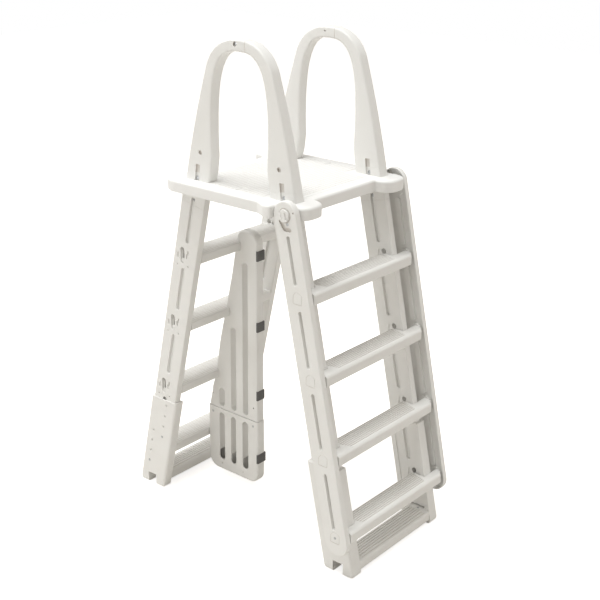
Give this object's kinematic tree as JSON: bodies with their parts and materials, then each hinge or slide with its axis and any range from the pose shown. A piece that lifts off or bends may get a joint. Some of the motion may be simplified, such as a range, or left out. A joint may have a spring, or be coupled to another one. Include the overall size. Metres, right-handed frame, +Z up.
{
  "type": "pool ladder",
  "caption": "Free-standing A-frame ladder for an above-ground pool, with a moulded deck, arched handrails, a swing-up outer ladder and a slotted barrier panel.",
  "frame": {"origin": "centre of the ladder's footprint, on the ground", "axes": "+Z up, +Y towards the pool, -Y towards the climber outside, +X to the climber's right"},
  "size_m": [0.672, 1.1199, 1.848],
  "materials": {
    "shell": "satin moulded resin, warm white",
    "steel": "plain stainless screw heads",
    "rubber": "matt dark grey pad"
  },
  "bodies": {
    "frame": {"deck": "shell", "handrail_front_left": "shell", "handrail_front_right": "shell", "handrail_pool_left": "shell", "handrail_pool_right": "shell", "handrail_foot_front_left": "shell", "handrail_foot_front_right": "shell", "handrail_foot_pool_left": "shell", "handrail_foot_pool_right": "shell", "handrail_joint_screws": "steel", "handrail_foot_bolts": "steel", "leg_rail_front_left": "shell", "leg_rail_front_right": "shell", "leg_rail_pool_left": "shell", "leg_rail_pool_right": "shell", "leg_rail_bolts": "steel", "leg_collar_front_left": "shell", "leg_collar_front_right": "shell", "leg_collar_pool_left": "shell", "leg_collar_pool_right": "shell", "pool_tread_1": "shell", "pool_tread_2": "shell", "pool_tread_3": "shell", "pool_tread_4": "shell", "latch_pins": "steel", "barrier_upper": "shell", "barrier_pads": "rubber"},
    "swing_ladder": {"swing_rail_left": "shell", "swing_rail_right": "shell", "swing_tread_1": "shell", "swing_tread_2": "shell", "swing_tread_3": "shell", "swing_tread_4": "shell", "swing_tread_plugs": "shell", "swing_tread_screws": "steel", "swing_lock_screws": "steel"},
    "knob_left": {"pivot_knob_left": "shell"},
    "knob_right": {"pivot_knob_right": "shell"},
    "front_foot": {"front_sleeve_left": "shell", "front_sleeve_right": "shell", "front_crossbar": "shell", "front_sleeve_screws": "steel", "front_crossbar_screws": "steel"},
    "pool_foot": {"pool_sleeve_left": "shell", "pool_sleeve_right": "shell", "pool_crossbar": "shell", "pool_sleeve_screws": "steel", "pool_crossbar_screws": "steel"},
    "barrier_foot": {"barrier_lower": "shell", "barrier_screws": "steel", "barrier_lower_pad": "rubber"}
  },
  "joints": [
    {"name": "ladder_swing", "type": "hinge", "parent": "frame", "child": "swing_ladder", "pos_m": [0, -0.26243, 1.308], "axis": [-1, 0, 0], "range_deg": [0, 165]},
    {"name": "knob_left_turn", "type": "hinge", "parent": "frame", "child": "knob_left", "pos_m": [-0.32, -0.26243, 1.308], "axis": [-1, 0, 0], "range_deg": [0, 90]},
    {"name": "knob_right_turn", "type": "hinge", "parent": "frame", "child": "knob_right", "pos_m": [0.32, -0.26243, 1.308], "axis": [1, 0, 0], "range_deg": [0, 90]},
    {"name": "front_foot_extend", "type": "slide", "parent": "frame", "child": "front_foot", "axis": [0, -0.2113, -0.9774], "range_m": [0, 0.1524]},
    {"name": "pool_foot_extend", "type": "slide", "parent": "frame", "child": "pool_foot", "axis": [0, 0.2113, -0.9774], "range_m": [0, 0.1524]},
    {"name": "barrier_extend", "type": "slide", "parent": "frame", "child": "barrier_foot", "axis": [0, 0, -1], "range_m": [-0.08, 0.1524]}
  ]
}
